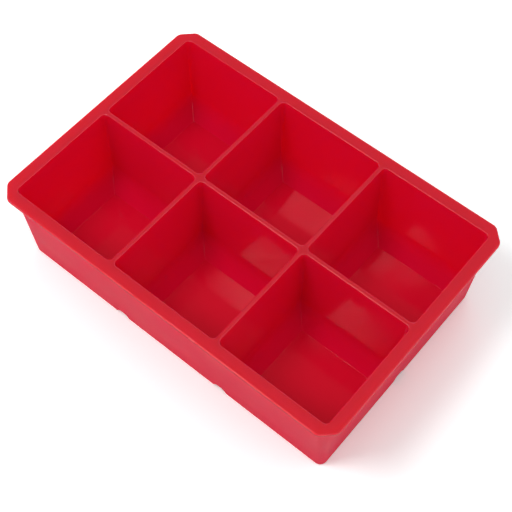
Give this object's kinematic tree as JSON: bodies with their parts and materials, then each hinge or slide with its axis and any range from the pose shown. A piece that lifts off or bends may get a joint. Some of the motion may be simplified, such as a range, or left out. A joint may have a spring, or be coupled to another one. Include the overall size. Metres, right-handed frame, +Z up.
{
  "type": "ice cube tray",
  "caption": "Flexible silicone ice cube tray: rows of large square tapering cells under one flat rim with cut corners, with floors that push up to free the cubes.",
  "frame": {"origin": "middle of the base, at the height of the feet that stand on the table", "axes": "+X along the long side, +Y across the short side towards the back row, +Z up out of the cells"},
  "size_m": [0.16, 0.1094, 0.0425],
  "materials": {
    "silicone_satin": "satin",
    "silicone_gloss": "polished"
  },
  "bodies": {
    "tray": {"rim_flange": "silicone_satin", "front_wall": "silicone_satin", "back_wall": "silicone_satin", "left_wall": "silicone_satin", "right_wall": "silicone_satin", "long_divider": "silicone_gloss", "cross_divider_front_left": "silicone_gloss", "cross_divider_front_right": "silicone_gloss", "cross_divider_back_left": "silicone_gloss", "cross_divider_back_right": "silicone_gloss", "cup_base_front_left": "silicone_gloss", "cup_base_front_middle": "silicone_gloss", "cup_base_front_right": "silicone_gloss", "cup_base_back_left": "silicone_gloss", "cup_base_back_middle": "silicone_gloss", "cup_base_back_right": "silicone_gloss"},
    "floor_front_left": {"floor_panel_front_left": "silicone_gloss"},
    "floor_front_middle": {"floor_panel_front_middle": "silicone_gloss"},
    "floor_front_right": {"floor_panel_front_right": "silicone_gloss"},
    "floor_back_left": {"floor_panel_back_left": "silicone_gloss"},
    "floor_back_middle": {"floor_panel_back_middle": "silicone_gloss"},
    "floor_back_right": {"floor_panel_back_right": "silicone_gloss"}
  },
  "joints": [
    {"name": "push_front_left", "type": "slide", "parent": "tray", "child": "floor_front_left", "axis": [0, 0, 1], "range_m": [0, 0.008], "stiffness_N_per_m": 300},
    {"name": "push_front_middle", "type": "slide", "parent": "tray", "child": "floor_front_middle", "axis": [0, 0, 1], "range_m": [0, 0.008], "stiffness_N_per_m": 300},
    {"name": "push_front_right", "type": "slide", "parent": "tray", "child": "floor_front_right", "axis": [0, 0, 1], "range_m": [0, 0.008], "stiffness_N_per_m": 300},
    {"name": "push_back_left", "type": "slide", "parent": "tray", "child": "floor_back_left", "axis": [0, 0, 1], "range_m": [0, 0.008], "stiffness_N_per_m": 300},
    {"name": "push_back_middle", "type": "slide", "parent": "tray", "child": "floor_back_middle", "axis": [0, 0, 1], "range_m": [0, 0.008], "stiffness_N_per_m": 300},
    {"name": "push_back_right", "type": "slide", "parent": "tray", "child": "floor_back_right", "axis": [0, 0, 1], "range_m": [0, 0.008], "stiffness_N_per_m": 300}
  ]
}
